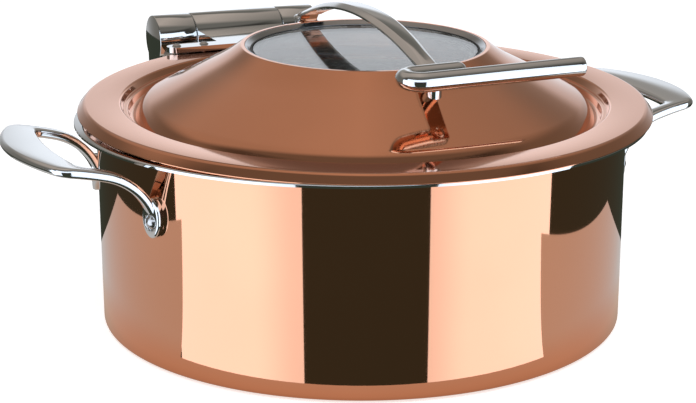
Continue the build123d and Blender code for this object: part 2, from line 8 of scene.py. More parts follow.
import logging
import math
from dataclasses import dataclass, field
from enum import Enum

import bmesh
import bpy
import numpy as np
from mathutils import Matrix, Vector


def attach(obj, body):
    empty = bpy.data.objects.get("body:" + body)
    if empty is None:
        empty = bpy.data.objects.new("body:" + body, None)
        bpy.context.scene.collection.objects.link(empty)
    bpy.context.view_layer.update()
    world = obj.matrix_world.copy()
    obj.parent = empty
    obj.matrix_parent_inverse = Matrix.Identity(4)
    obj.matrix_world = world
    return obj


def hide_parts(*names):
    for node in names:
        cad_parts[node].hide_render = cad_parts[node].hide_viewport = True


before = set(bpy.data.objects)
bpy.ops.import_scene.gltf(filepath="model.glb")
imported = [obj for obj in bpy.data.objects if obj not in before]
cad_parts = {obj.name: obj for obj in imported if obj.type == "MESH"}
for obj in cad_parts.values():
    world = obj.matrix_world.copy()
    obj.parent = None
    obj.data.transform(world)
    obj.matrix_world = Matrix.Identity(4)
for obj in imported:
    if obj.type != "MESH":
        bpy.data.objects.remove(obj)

LOG = logging.getLogger("chafing_dish")
MM = 0.001
WALL_RADIUS = 152.5
FOOT_ANGLE = 20.0
FOOT_HEIGHT = 84.5
POLE = 0.001
CLOUD_SCALE = 9.0
SPECK_SCALE = 420.0
LINE_SCALE = 1400.0
COAT_ROUGHNESS = 0.03
TINT_SWAY = 0.6
GLOSS_SWAY = 2.5
Colour = tuple[float, float, float]
Span = tuple[float, float]
MIDDLE: Span = (0.3, 0.7)
Array = np.ndarray


class Body(Enum):
    """The two rigid bodies of the dish."""

    POT = "pot"
    LID = "lid"


class Grain(Enum):
    """Direction of the fine polishing lines on a metal surface."""

    NONE = "none"
    RING = "ring"


# Shader maths


class Wire:
    """A shader socket that takes part in Python expressions."""

    def __init__(self, nodes: "Nodes", socket: bpy.types.NodeSocket) -> None:
        """Keeps the socket and the node tree that it belongs to."""
        self.nodes = nodes
        self.socket = socket

    def _math(self, operation: str, other: "Wire | float") -> "Wire":
        """Result of a Math node on this value and another."""
        return self.nodes.node("ShaderNodeMath", {"operation": operation}, {0: self, 1: other})

    def __add__(self, other: "Wire | float") -> "Wire":
        """Sum."""
        return self._math("ADD", other)

    def __mul__(self, other: "Wire | float") -> "Wire":
        """Product."""
        return self._math("MULTIPLY", other)

    def __sub__(self, other: "Wire | float") -> "Wire":
        """Difference."""
        return self._math("SUBTRACT", other)

    def __pow__(self, other: "Wire | float") -> "Wire":
        """Power."""
        return self._math("POWER", other)

    def part(self, name: str) -> "Wire":
        """Another output of the same node."""
        return Wire(self.nodes, self.socket.node.outputs[name])

    def span(self, low: float, high: float, to_low: float, to_high: float) -> "Wire":
        """This value carried smoothly from one range to another, held at both ends."""
        settings = {"interpolation_type": "SMOOTHSTEP", "clamp": True}
        sockets = {0: self, 1: low, 2: high, 3: to_low, 4: to_high}
        return self.nodes.node("ShaderNodeMapRange", settings, sockets)


class Nodes:
    """A node tree, with short ways to add nodes."""

    def __init__(self, tree: bpy.types.NodeTree) -> None:
        """Keeps the tree."""
        self.tree = tree

    def node(self, kind: str, settings: dict, sockets: dict) -> Wire:
        """Adds a node.

        Args:
            kind: the node's type.
            settings: properties that are set before the sockets.
            sockets: values or wires by input name or number.

        Returns:
            The node's first output that its settings leave enabled.
        """
        made = self.tree.nodes.new(kind)
        for key, value in settings.items():
            setattr(made, key, value)
        for key, value in sockets.items():
            if isinstance(value, Wire):
                self.tree.links.new(value.socket, made.inputs[key])
            else:
                made.inputs[key].default_value = value
        return Wire(self, next(out for out in made.outputs if out.enabled))

    def mix(self, factor: Wire, first: "Wire | tuple", second: "Wire | tuple") -> Wire:
        """Blend of two colours."""
        settings = {"data_type": "RGBA"}
        opaque = [v if isinstance(v, Wire) else (*v, 1.0) for v in (first, second)]
        return self.node("ShaderNodeMix", settings, {0: factor, 6: opaque[0], 7: opaque[1]})

    def place(self, scale: tuple[float, float, float] = (1, 1, 1)) -> Wire:
        """Object coordinates, stretched by a scale."""
        where = self.node("ShaderNodeTexCoord", {}, {}).part("Object")
        return self.node("ShaderNodeMapping", {}, {"Vector": where, "Scale": scale})

    def axes(self, scale: tuple[float, float, float] = (1, 1, 1)) -> list[Wire]:
        """X, Y and Z of the object coordinates, stretched by a scale."""
        apart = self.node("ShaderNodeSeparateXYZ", {}, {0: self.place(scale)})
        return [apart.part(axis) for axis in "XYZ"]

    def noise(self, where: Wire, scale: float, detail: float) -> Wire:
        """Smooth noise from 0 to 1."""
        sockets = {"Vector": where, "Scale": scale, "Detail": detail, "Roughness": 0.5}
        return self.node("ShaderNodeTexNoise", {}, sockets)


class Shader(Nodes):
    """A material's node tree round its Principled BSDF."""

    def __init__(self, name: str) -> None:
        """Makes the material."""
        self.material = bpy.data.materials.new(name)
        self.material.use_nodes = True
        super().__init__(self.material.node_tree)
        self.bsdf = self.tree.nodes["Principled BSDF"]

    def glow(self, colour: Wire) -> bpy.types.Material:
        """Turns the material into pure light of a colour.

        Args:
            colour: the light's colour, whose size is its brightness.

        Returns:
            The material.
        """
        light = self.node("ShaderNodeEmission", {}, {"Color": colour, "Strength": 1.0})
        self.tree.links.new(light.socket, self.tree.nodes["Material Output"].inputs["Surface"])
        self.tree.nodes.remove(self.bsdf)
        return self.material

    def feed(self, **sockets: "Wire | float | tuple") -> None:
        """Sets the shader's own sockets, by name with spaces as underscores."""
        for key, value in sockets.items():
            target = self.bsdf.inputs[key.replace("_", " ")]
            if isinstance(value, Wire):
                self.tree.links.new(value.socket, target)
            else:
                target.default_value = value


@dataclass(frozen=True)
class Finish:
    """How a kind of surface looks.

    Gloss and tint change slowly over a piece. A grain adds fine polishing lines, whose depth is in metres.
    """

    name: str
    slot: str
    colour: Colour
    roughness: float = 0.1
    metallic: float = 1.0
    grain: Grain = Grain.NONE
    grain_depth: float = 0.0
    cloud: float = 0.04
    specular: float = 0.5
    coat: float = 0.0

    def build(self) -> bpy.types.Material:
        """Makes the material.

        Returns:
            The material.
        """
        shader = Shader(self.name)
        where = shader.place()
        slow = shader.noise(where, CLOUD_SCALE, 3.0)
        fine = shader.noise(where, SPECK_SCALE, 2.0)
        sway = GLOSS_SWAY * self.cloud * self.roughness
        rough = slow.span(*MIDDLE, self.roughness - sway, self.roughness + sway)
        warm = tuple(min(1.0, c * (1 + TINT_SWAY * self.cloud)) for c in self.colour)
        cool = tuple(c * (1 - TINT_SWAY * self.cloud) for c in self.colour)
        shader.feed(Base_Color=shader.mix(slow.span(0.35, 0.65, 0.0, 1.0), cool, warm),
                    Metallic=self.metallic, Specular_IOR_Level=self.specular)
        if self.coat:
            shader.feed(Coat_Weight=slow.span(*MIDDLE, 0.96 * self.coat, self.coat),
                        Coat_Roughness=COAT_ROUGHNESS)
        if self.grain is Grain.NONE:
            shader.feed(Roughness=rough + (fine - 0.5) * (self.roughness * 0.15))
        else:
            lines = self.lines(shader)
            bump = {"Height": lines, "Distance": self.grain_depth, "Strength": 1.0}
            shader.feed(Roughness=rough + (lines - 0.5) * (self.roughness * 0.5),
                        Normal=shader.node("ShaderNodeBump", {}, bump))
        return shader.material

    def lines(self, shader: Shader) -> Wire:
        """Noise drawn out into long fine lines.

        Args:
            shader: the material's shader.

        Returns:
            A height from 0 to 1 whose lines run round Z.
        """
        x, y, z = shader.axes()
        reach = (x * x + y * y) ** 0.5
        sockets = {0: reach * LINE_SCALE, 1: z * LINE_SCALE, 2: 0.0}
        return shader.noise(shader.node("ShaderNodeCombineXYZ", {}, sockets), 1.0, 1.0)


COPPER = Finish("polished_copper", "copper_polish", (0.90, 0.405, 0.225), 0.035, coat=1.0)
LID_COPPER = Finish("lid_copper", "copper_polish", (0.89, 0.395, 0.22), 0.09, cloud=0.05, coat=0.6)
STEEL = Finish("mirror_steel", "steel_polish", (0.80, 0.82, 0.825), 0.05)
CAST_STEEL = Finish("cast_handle_steel", "steel_polish", (0.81, 0.83, 0.835), 0.09, cloud=0.08)
FRAME_STEEL = Finish("window_ring_steel", "steel_polish", (0.46, 0.47, 0.48), 0.16)
SATIN = Finish("satin_steel", "steel_satin", (0.62, 0.62, 0.61), 0.26, grain=Grain.RING, grain_depth=0.000004)
FASTENER = Finish("fastener_steel", "steel_fastener", (0.60, 0.60, 0.60), 0.2)
ALUMINIUM = Finish("rolled_aluminium", "aluminium_core", (0.72, 0.73, 0.74), 0.35)
BRASS = Finish("turned_brass", "brass_bush", (0.72, 0.55, 0.25), 0.22)
BRAKE = Finish("brake_plastic", "brake_polymer", (0.10, 0.10, 0.11), 0.6, metallic=0.0)
RUBBER = Finish("silicone_black", "black_seal", (0.022, 0.022, 0.024), 0.5, metallic=0.0, specular=0.35)


@dataclass(frozen=True)
class Glass:
    """Toughened glass with an even grey tint."""

    name: str = "clear_pane"
    slot: str = "clear_glass"
    colour: Colour = (0.60, 0.63, 0.64)

    def build(self) -> bpy.types.Material:
        """Makes the material."""
        shader = Shader(self.name)
        slow = shader.noise(shader.place(), 14.0, 2.0)
        shader.feed(Base_Color=(*self.colour, 1.0), Transmission_Weight=1.0, IOR=1.5,
                    Roughness=slow.span(*MIDDLE, 0.0, 0.02))
        return shader.material


# Surfaces


def joined(*parts: "Array | float") -> Array:
    """Coordinates of one shape, or single numbers, side by side on a new last axis."""
    return np.stack(np.broadcast_arrays(*parts), -1)


def smooth(value: Array, low: float, high: float) -> Array:
    """Smooth step: 3t^2 - 2t^3, where t is the value's share of the range, held between 0 and 1."""
    share = np.clip((value - low) / (high - low), 0.0, 1.0)
    return share * share * (3.0 - 2.0 * share)


def filleted(corners: list[Span], bends: list[float], steps: int) -> Array:
    """Open path of straight runs whose inner corners are rounded.

    A corner between unit directions a and b turns by t. Its arc of radius r starts r tan(t/2) before
    the corner and its points are the arc's centre plus r times a vector turned evenly by t.

    Args:
        corners: the path's corner points.
        bends: one radius for each inner corner.
        steps: points on each arc.

    Returns:
        Points of the path, one row each.
    """
    points = np.array(corners, float)
    rows = [points[:1]]
    for before, corner, after, bend in zip(points[:-2], points[1:-1], points[2:], bends):
        a = (corner - before) / np.linalg.norm(corner - before)
        b = (after - corner) / np.linalg.norm(after - corner)
        turn = math.atan2(a[0] * b[1] - a[1] * b[0], float(a @ b))
        if bend <= 0 or abs(turn) < 1e-6:
            rows.append(corner[None])
            continue
        start = corner - a * bend * math.tan(abs(turn) / 2)
        side = np.array([-a[1], a[0]]) * math.copysign(1.0, turn)
        centre = start + side * bend
        angle = np.linspace(0, turn, steps)
        spoke = start - centre
        rows.append(centre + joined(spoke[0] * np.cos(angle) - spoke[1] * np.sin(angle),
                                    spoke[0] * np.sin(angle) + spoke[1] * np.cos(angle)))
    rows.append(points[-1:])
    return np.concatenate(rows)


def beside(path: Array, gap: float) -> Array:
    """Path that runs beside another, to its left, at an even distance.

    Each point moves along the mean of the normals of its two neighbouring runs, lengthened so that
    the runs keep their distance.

    Args:
        path: points, one row each.
        gap: distance to the left.

    Returns:
        The moved points.
    """
    runs = np.diff(path, axis=0)
    runs /= np.linalg.norm(runs, axis=1, keepdims=True)
    normals = joined(-runs[:, 1], runs[:, 0])
    before = np.vstack([normals[:1], normals])
    after = np.vstack([normals, normals[-1:]])
    mean = before + after
    mean /= np.linalg.norm(mean, axis=1, keepdims=True)
    return path + mean * gap / np.maximum(np.sum(mean * before, axis=1, keepdims=True), 0.4)


def circle(angle: "Array | float") -> Array:
    """Point (cos a, sin a) at each angle a."""
    return joined(np.cos(angle), np.sin(angle))


def around(count: int) -> Array:
    """Angles at even steps once round."""
    return np.linspace(0, 2 * np.pi, count, endpoint=False)


def rounded_section(width: Array, height: float, bend: Array, steps: int) -> Array:
    """Rounded rectangles, one for each station.

    Each corner is a quarter circle about (half width - bend, half height - bend).

    Args:
        width: full width of each station.
        height: full height of them all.
        bend: corner radius of each station.
        steps: points on each corner.

    Returns:
        Array of stations by points by two.
    """
    quarter = np.linspace(0, np.pi / 2, steps)
    angle = np.concatenate([quarter + k * np.pi / 2 for k in range(4)])
    sx = np.repeat([1, -1, -1, 1], steps)
    sy = np.repeat([1, 1, -1, -1], steps)
    w, b = width[:, None], bend[:, None]
    return joined(sx * (w / 2 - b) + b * np.cos(angle), sy * (height / 2 - b) + b * np.sin(angle))


def grid_faces(rows: int, columns: int, wrap_rows: bool, wrap_columns: bool) -> Array:
    """Four-sided faces of a grid whose points are numbered row by row."""
    i = np.arange(rows if wrap_rows else rows - 1)[:, None]
    j = np.arange(columns if wrap_columns else columns - 1)[None, :]
    i2, j2 = (i + 1) % rows, (j + 1) % columns
    corners = joined(i * columns + j, i * columns + j2, i2 * columns + j2, i2 * columns + j)
    return corners.reshape(-1, 4)


def linked(name: str, data: bpy.types.ID) -> bpy.types.Object:
    """New object of a mesh, lamp or camera, linked to the scene."""
    made = bpy.data.objects.new(name, data)
    bpy.context.scene.collection.objects.link(made)
    return made


@dataclass
class Piece:
    """A mesh that is gathered from grids and becomes one object."""

    name: str
    points: list[Array] = field(default_factory=list)
    faces: list[Array] = field(default_factory=list)
    fans: list[Array] = field(default_factory=list)

    def add(self, grid: Array, wrap_rows: bool = False, caps: bool = False) -> "Piece":
        """Adds a grid of points whose last column joins the first.

        Args:
            grid: rows by columns by three, in millimetres.
            wrap_rows: whether the last row joins the first.
            caps: whether the first and last rows are closed with a face.

        Returns:
            This piece.
        """
        base = sum(len(p) for p in self.points)
        rows, columns = grid.shape[:2]
        self.points.append(grid.reshape(-1, 3))
        self.faces.append(grid_faces(rows, columns, wrap_rows, True) + base)
        if caps:
            self.fans.append(np.arange(columns) + base)
            self.fans.append(np.arange(columns)[::-1] + base + (rows - 1) * columns)
        return self

    def seated(self) -> "Piece":
        """This piece, moved from the lid's own frame to the dish's."""
        self.points = [SEAT.place(p) for p in self.points]
        return self

    def build(self, finish: "Finish | Glass", body: Body, *nodes: str, sharp: float = 32.0) -> None:
        """Makes the object, points its faces outwards and dresses it.

        Args:
            finish: the surface's finish.
            body: the body it rides on.
            nodes: CAD nodes that it stands for.
            sharp: angle in degrees past which an edge stays sharp.
        """
        mesh = bpy.data.meshes.new(self.name)
        points = np.concatenate(self.points) * MM
        faces = [f for block in self.faces for f in block.tolist()] + [f.tolist() for f in self.fans]
        mesh.from_pydata(points.tolist(), [], faces)
        work = bmesh.new()
        work.from_mesh(mesh)
        bmesh.ops.remove_doubles(work, verts=work.verts, dist=1e-6)
        bmesh.ops.recalc_face_normals(work, faces=work.faces)
        work.to_mesh(mesh)
        work.free()
        mesh.polygons.foreach_set("use_smooth", np.ones(len(mesh.polygons), bool))
        mesh.set_sharp_from_angle(angle=math.radians(sharp))
        mesh.materials.append(finish.build())
        made = linked(self.name, mesh)
        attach(made, body.value)
        if nodes:
            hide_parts(*nodes)
        LOG.info("%s: %d faces on %s", self.name, len(mesh.polygons), body.value)


def turned(name: str, outline: Array, segments: int) -> Piece:
    """Piece turned about Z from a closed outline.

    A point at angle a is (r cos a, r sin a, z).

    Args:
        name: the piece's name.
        outline: points of radius and height in millimetres.
        segments: steps round the circle.

    Returns:
        The piece.
    """
    angle = around(segments)[:, None]
    r, z = outline[None, :, 0], outline[None, :, 1]
    return Piece(name).add(joined(r * np.cos(angle), r * np.sin(angle), z), wrap_rows=True)


@dataclass(frozen=True)
class LidSeat:
    """Where the closed lid's own frame sits on the pot."""

    x: float = 2.3
    y: float = -0.5
    z: float = 125.5
    tilt: float = 1.6
    roll: float = 0.3

    def place(self, points: Array) -> Array:
        """Points of the lid's frame in the dish's frame.

        The frame is turned by the tilt about X, by the roll about Y and then moved.

        Args:
            points: array whose last axis is three long.

        Returns:
            The placed points.
        """
        c, s = circle(math.radians(self.tilt))
        x = points[..., 0]
        y, z = points[..., 1] * c - points[..., 2] * s, points[..., 1] * s + points[..., 2] * c
        c, s = circle(math.radians(self.roll))
        return joined(x * c - z * s + self.x, y + self.y, x * s + z * c + self.z)


SEAT = LidSeat()


# Sub-assemblies


@dataclass
class Pot:
    """Copper-coloured outer wall and steel rim."""

    radius: float = WALL_RADIUS
    wall: float = 1.0
    base_gap: float = 0.8
    corner: float = 2.5
    inner_edge: float = 139.9
    top: float = 119.6
    rim_radius: float = 165.0
    rim_low: float = 117.9
    rim_seat: float = 120.4
    rim_inner: float = 148.6
    rim_seat_radius: float = 155.8
    rim_top: float = 121.0
    rim_top_radius: float = 160.4
    rim_under: float = 154.0
    rim_face: float = 1.5

    def shell(self) -> Piece:
        """Thin wall that curls in under the base."""
        corners = [(self.inner_edge, self.base_gap), (self.radius, self.base_gap), (self.radius, self.top)]
        path = filleted(corners, [self.corner], 10)
        inside = beside(path, self.wall)
        return turned("copper_wall", np.vstack([path, inside[::-1]]), 360)

    def rim(self) -> Piece:
        """Rim with an upright face and a top that slopes up to the lid's seat."""
        corners = [(self.rim_seat_radius, self.rim_seat), (self.rim_seat_radius, self.rim_top),
                   (self.rim_top_radius, self.rim_top), (self.rim_radius, self.rim_low + self.rim_face),
                   (self.rim_radius, self.rim_low)]
        face = filleted(corners, [0.3, 2.0, 0.5], 6)[1:]
        back = np.array([(self.rim_under, self.rim_low), (self.rim_under, self.top),
                         (self.rim_inner, self.top), (self.rim_inner, self.rim_seat),
                         (self.rim_seat_radius, self.rim_seat)])
        return turned("polished_rim", np.vstack([face, back]), 360)

    def build(self) -> None:
        """Builds the wall and the rim."""
        self.shell().build(COPPER, Body.POT, "outer_shell")
        self.rim().build(STEEL, Body.POT, "rim_ring")


def sweep(name: str, path: Array, across: Array, rings: Array) -> Piece:
    """Piece with closed ends whose section rings are carried along a path.

    A point of ring i with offsets (w, h) is path_i + w across_i + h (across_i x along_i), where
    along_i is the path's unit direction.

    Args:
        name: the piece's name.
        path: stations by three, in millimetres.
        across: width direction at each station.
        rings: stations by points by two.

    Returns:
        The piece.
    """
    along = np.gradient(path, axis=0)
    along /= np.linalg.norm(along, axis=1, keepdims=True)
    across = across - np.sum(across * along, axis=1, keepdims=True) * along
    across /= np.linalg.norm(across, axis=1, keepdims=True)
    rise = np.cross(across, along)
    grid = path[:, None] + rings[..., :1] * across[:, None] + rings[..., 1:] * rise[:, None]
    return Piece(name).add(grid, caps=True)


@dataclass(frozen=True)
class Band:
    """Middle surface of the side handles: two arcs that meet at the shoulder with one slope.

    The lower arc leaves the shoulder towards the wall and the upper one towards the grip's edge.
    """

    foot_x: float = WALL_RADIUS * math.cos(math.radians(FOOT_ANGLE))
    root: Span = (1.9, 6.0)
    shoulder: Span = (26.0, 27.3)
    edge_x: float = 213.0
    edge_rise: float = 34.2
    slope: float = 0.28
    steps: int = 40

    def arc(self, start: Array, end: Array, heading: Array) -> tuple[Array, Array]:
        """Points and directions of the arc that leaves a point in a heading and ends at another.

        The arc turns by twice the angle between its heading and its chord.

        Args:
            start: the arc's first point.
            end: its last point.
            heading: its unit direction at the start.

        Returns:
            The points and the unit directions.
        """
        chord = end - start
        first = math.atan2(heading[1], heading[0])
        turn = 2 * ((math.atan2(chord[1], chord[0]) - first + math.pi) % (2 * math.pi) - math.pi)
        radius = np.linalg.norm(chord) / (2 * math.sin(abs(turn) / 2)) * math.copysign(1, turn)
        angle = first + turn * np.linspace(0, 1, self.steps)
        offset = joined(np.sin(angle) - math.sin(first), math.cos(first) - np.cos(angle))
        return start + radius * offset, circle(angle)

    def at(self, reach: Array) -> tuple[Array, Array]:
        """Height and slope angle of the band at a reach."""
        foot = np.array([self.foot_x, FOOT_HEIGHT])
        shoulder = foot + self.shoulder
        high = np.array([self.edge_x, FOOT_HEIGHT + self.edge_rise])
        away = np.array([1.0, self.slope]) / math.hypot(1.0, self.slope)
        lower, lower_way = self.arc(shoulder, foot + self.root, -away)
        upper, upper_way = self.arc(shoulder, high, away)
        x, z = np.vstack([lower[::-1], upper[1:]]).T
        run, rise = np.vstack([-lower_way[::-1], upper_way[1:]]).T
        return np.interp(reach, x, z), np.interp(reach, x, np.arctan2(rise, run))


@dataclass
class SideHandle:
    """Cast handle: two arms and a broad crescent, rounded all over."""

    side: int
    half: float = 56.0
    arm: float = 10.0
    depth: float = 5.4
    outer: float = 209.0
    blade: float = 24.0
    bow: float = 15.0
    corner: float = 10.0
    opening_bow: float = 4.0
    opening_corner: float = 5.0
    edge: Span = (1.9, 2.4)
    crown: Span = (0.35, 1.10)
    foot_oval: Span = (7.0, 11.0)
    foot_centre: Span = (0.0, 2.0)
    foot_edge: tuple[Span, ...] = ((0.0, -0.4), (0.96, -0.4), (1.0, 0.6), (1.0, 2.2), (0.97, 3.2),
                                   (0.9, 3.75), (0.8, 3.8))
    foot_hollow: tuple[Span, ...] = ((4.8, 3.8), (4.6, 3.5), (4.4, 2.8), (POLE, 2.8))
    band: Band = field(default_factory=Band)

    def outline(self, half: float, corner_x: float, bow: float, bend: float) -> Array:
        """Plan outline from one arm's root round to the other's.

        The bow is an arc of radius R through the corners and the middle. A corner's arc of radius r
        touches the side line and the bow, so that its centre is R - r from the bow's centre.

        Args:
            half: half of the outline's width.
            corner_x: reach of the corners.
            bow: how far the middle stands out past the corners.
            bend: corner radius.

        Returns:
            Points of reach and place along the wall.
        """
        radius = (half ** 2 + bow ** 2) / (2 * bow)
        centre = corner_x + bow - radius
        spot = centre + math.sqrt((radius - bend) ** 2 - (half - bend) ** 2)
        beta = math.atan2(half - bend, spot - centre)
        arm = np.linspace(self.band.foot_x + self.band.root[0], spot, 26)[:-1]
        side = joined(arm, half)
        turn = np.linspace(math.pi / 2, beta, 12)[:-1]
        corner = (spot, half - bend) + bend * circle(turn)
        swing = np.linspace(beta, 0, 18)
        rest = (centre, 0) + radius * circle(swing)
        upper = np.vstack([side, corner, rest])
        return np.vstack([upper, (upper * (1, -1))[-2::-1]])

    def build(self) -> None:
        """Builds the handle from rings between the outer and the inner outline.

        The upper face is crowned: at share t of the width it lies c (2t - 1)^2 under its middle.
        """
        outer = self.outline(self.half, self.outer - self.bow, self.bow, self.corner)
        inner_x = self.outer - self.blade - self.opening_bow
        inner = self.outline(self.half - self.arm, inner_x, self.opening_bow, self.opening_corner)
        width = np.linalg.norm(outer - inner, axis=1)
        broad = np.clip((width - self.arm) / (self.blade - self.arm), 0, 1)
        bend, crown = (narrow + (wide - narrow) * broad for narrow, wide in (self.edge, self.crown))
        ring = rounded_section(width, self.depth, bend, 6)
        share = ring[..., 0] / width[:, None] + 0.5
        height = ring[..., 1] - np.where(ring[..., 1] > 0, crown[:, None] * (2 * share - 1) ** 2, 0)
        plan = inner[:, None] + share[..., None] * (outer - inner)[:, None]
        rise, tilt = self.band.at(plan[..., 0])
        x = plan[..., 0] - height * np.sin(tilt)
        grid = joined(self.side * x, plan[..., 1], rise + height * np.cos(tilt))
        name = "right" if self.side > 0 else "left"
        piece = Piece(name + "_side_handle").add(grid, caps=True)
        for end in (-1, 1):
            self.foot(piece, end)
        piece.build(CAST_STEEL, Body.POT, name + "_handle", sharp=50.0)

    def foot(self, piece: Piece, end: int) -> None:
        """Adds an oval foot with a rounded edge and a round hollow for its screw.

        A ring at share k of the oval, or of radius r in the hollow, has its own height over the wall.

        Args:
            piece: the handle.
            end: which end, 1 or -1.
        """
        angle = math.radians(FOOT_ANGLE)
        out = np.array([self.side * math.cos(angle), end * math.sin(angle), 0])
        along = np.array([-out[1], out[0], 0])
        centre = np.array(self.foot_centre)
        ring = circle(around(48))
        oval = ring * self.foot_oval + centre
        rings = [oval * k + centre * (1 - k) for k, _ in self.foot_edge]
        rings[0] = rings[0] * POLE + centre
        rings += [ring * r for r, _ in self.foot_hollow]
        high = np.array([h for _, h in self.foot_edge + self.foot_hollow])
        flat = np.stack(rings)
        bow = WALL_RADIUS - np.sqrt(WALL_RADIUS ** 2 - flat[..., 0] ** 2)
        drop = np.where(high[:, None] < 1.0, bow, 0)
        grid = (out * (WALL_RADIUS + high[:, None, None] - drop[..., None]) + along * flat[..., :1]
                + np.array([0, 0, 1.0]) * (FOOT_HEIGHT + flat[..., 1:]))
        piece.add(grid)


@dataclass
class Lid:
    """Pressed lid: flange, trough and dome."""

    wall: float = 1.0
    radius: float = 165.2
    lip: float = -1.6
    hole: float = 69.4
    corners: list[Span] = field(default_factory=lambda: [
        (165.2, -1.2), (161.5, 3.5), (140.6, 2.9), (139.1, -1.0), (136.6, -1.0), (134.2, -7.0),
        (127.6, 3.4), (82.5, 25.9), (71.6, 33.8)])
    bends: list[float] = field(default_factory=lambda: [0.35, 3.0, 1.8, 0.6, 1.2, 1.5, 14.0, 95.0, 1.5])

    def path(self) -> Array:
        """Upper face from the lower edge in to the window's hole."""
        ends = [(self.radius, self.lip), *self.corners, (self.hole, self.corners[-1][1])]
        return filleted(ends, self.bends, 12)

    def build(self) -> None:
        """Builds the sheet."""
        top = self.path()
        under = beside(top, self.wall)
        sheet = turned("copper_lid", np.vstack([top, under[::-1]]), 360)
        sheet.seated().build(LID_COPPER, Body.LID, "lid_shell")


@dataclass
class HingeTube:
    """Wide tube round the hinge in three lengths. The middle one goes with the lid."""

    y: float = 208.4
    z: float = 131.4
    radius: float = 16.0
    half: float = 57.5
    seam: float = 31.3
    gap: float = 0.35
    neck: Span = (11.0, 94.0)
    neck_top: float = 8.0
    neck_wall: float = 3.0
    soft: tuple[Span, ...] = ((0.0, 0.7), (0.2, 0.2), (0.6, 0.0))

    def length(self, name: str, start: float, end: float) -> Piece:
        """One length with flat ends and softened edges.

        A point at angle a of a ring of radius r lies at (r cos a, r sin a) from the tube's middle.

        Args:
            name: name of the piece.
            start: X of its left end.
            end: X of its right end.

        Returns:
            The length.
        """
        left = [(start + step, self.radius - drop) for step, drop in self.soft]
        right = [(end - step, self.radius - drop) for step, drop in self.soft[::-1]]
        outline = np.array([(start, POLE), *left, *right, (end, POLE)])
        turn = around(120)
        ring = joined(0.0, np.cos(turn), np.sin(turn))
        grid = outline[:, None, 1:] * ring + (0, self.y, self.z)
        grid[..., 0] = outline[:, :1]
        return Piece(name).add(grid)

    def post(self, piece: Piece, side: int) -> None:
        """Adds the flat neck that stands on the bracket's shelf under an end.

        Args:
            piece: the end length.
            side: which end, 1 or -1.
        """
        wide, low = self.neck
        high = self.z - self.neck_top
        edge = np.array([(-wide, low), (wide, low), (wide, high), (-wide, high)]) + (self.y, 0)
        sides = (self.half - self.neck_wall, self.half - 0.1)
        faces = [joined(side * x, *edge.T) for x in sides]
        piece.add(np.stack(faces), caps=True)

    def build(self) -> None:
        """Builds the three lengths."""
        for side, name in ((-1, "left"), (1, "right")):
            ends = sorted((side * (self.seam + self.gap / 2), side * self.half))
            piece = self.length(name + "_hinge_end", *ends)
            self.post(piece, side)
            piece.build(STEEL, Body.POT, name + "_cheek", sharp=50.0)
        middle = self.seam - self.gap / 2
        self.length("hinge_middle", -middle, middle).build(STEEL, Body.LID, sharp=50.0)


@dataclass
class Strap:
    """Bow of bar with bevelled edges over the window, level at both feet."""

    foot_bend: float = 4.0
    apex_y: float = 1.0
    apex_z: float = 54.8
    radius: float = 205.0
    thickness: float = 3.6
    foot_thickness: float = 3.0
    bevel: Span = (0.7, 2.3)
    round_end: float = 5.0
    width: float = 16.0
    foot_width: float = 10.5
    full: float = 25.0
    front: float = -93.0
    rear: float = 97.0
    pad: float = 12.0
    front_top: float = 37.4
    rear_top: float = 33.6

    def top(self) -> Array:
        """Side view of the upper face, from the front foot to the rear one."""
        y = np.linspace(self.front + self.pad + 3, self.rear - self.pad - 3, 64)
        height = np.sqrt(self.radius ** 2 - (y - self.apex_y) ** 2)
        arc = joined(y, self.apex_z - self.radius + height)
        corners = [(self.front, self.front_top), (self.front + self.pad, self.front_top), *arc.tolist(),
                   (self.rear - self.pad, self.rear_top), (self.rear, self.rear_top)]
        path = filleted(corners, [self.foot_bend] + [0.0] * len(arc) + [self.foot_bend], 8)
        lead = np.linspace(path[0], path[1], 8)[:-1]
        tail = np.linspace(path[-2], path[-1], 8)[1:]
        return np.vstack([lead, path[1:-1], tail])

    def build(self) -> None:
        """Builds the bow."""
        top = self.top()
        half = np.interp(top[:, 0], [self.front, -self.full, self.full, self.rear],
                         [self.foot_width / 2, self.width / 2, self.width / 2, self.foot_width / 2])
        foot = np.minimum(top[:, 0] - self.front, self.rear - top[:, 0])
        short = ((self.round_end - foot) / self.round_end).clip(0)
        half = half * np.sqrt(np.clip(1 - short ** 2, 0.02, 1))
        deep = np.interp(foot, [self.pad - 2, self.pad + 8], [self.foot_thickness, self.thickness])
        bevel = np.interp(foot, [4.0, self.pad + 14], self.bevel)
        shoulder = np.minimum(bevel * 1.5, half * 0.62)
        right = [(half - 0.3, -deep), (half, -deep + 0.3), (half, -bevel - 0.15), (half - 0.15, -bevel + 0.1),
                 (half - shoulder + 0.3, -0.1), (half - shoulder, 0.0)]
        left = [(-w, h) for w, h in right[::-1]]
        shape = [*left[-2:], *right, *left[:-2]]
        rings = np.stack([joined(w, h) for w, h in shape], 1)
        path = joined(0.0, *top.T)
        piece = sweep("window_strap", path, np.tile([1.0, 0, 0], (len(path), 1)), rings)
        piece.seated().build(CAST_STEEL, Body.LID, "lid_strap", sharp=22.0)


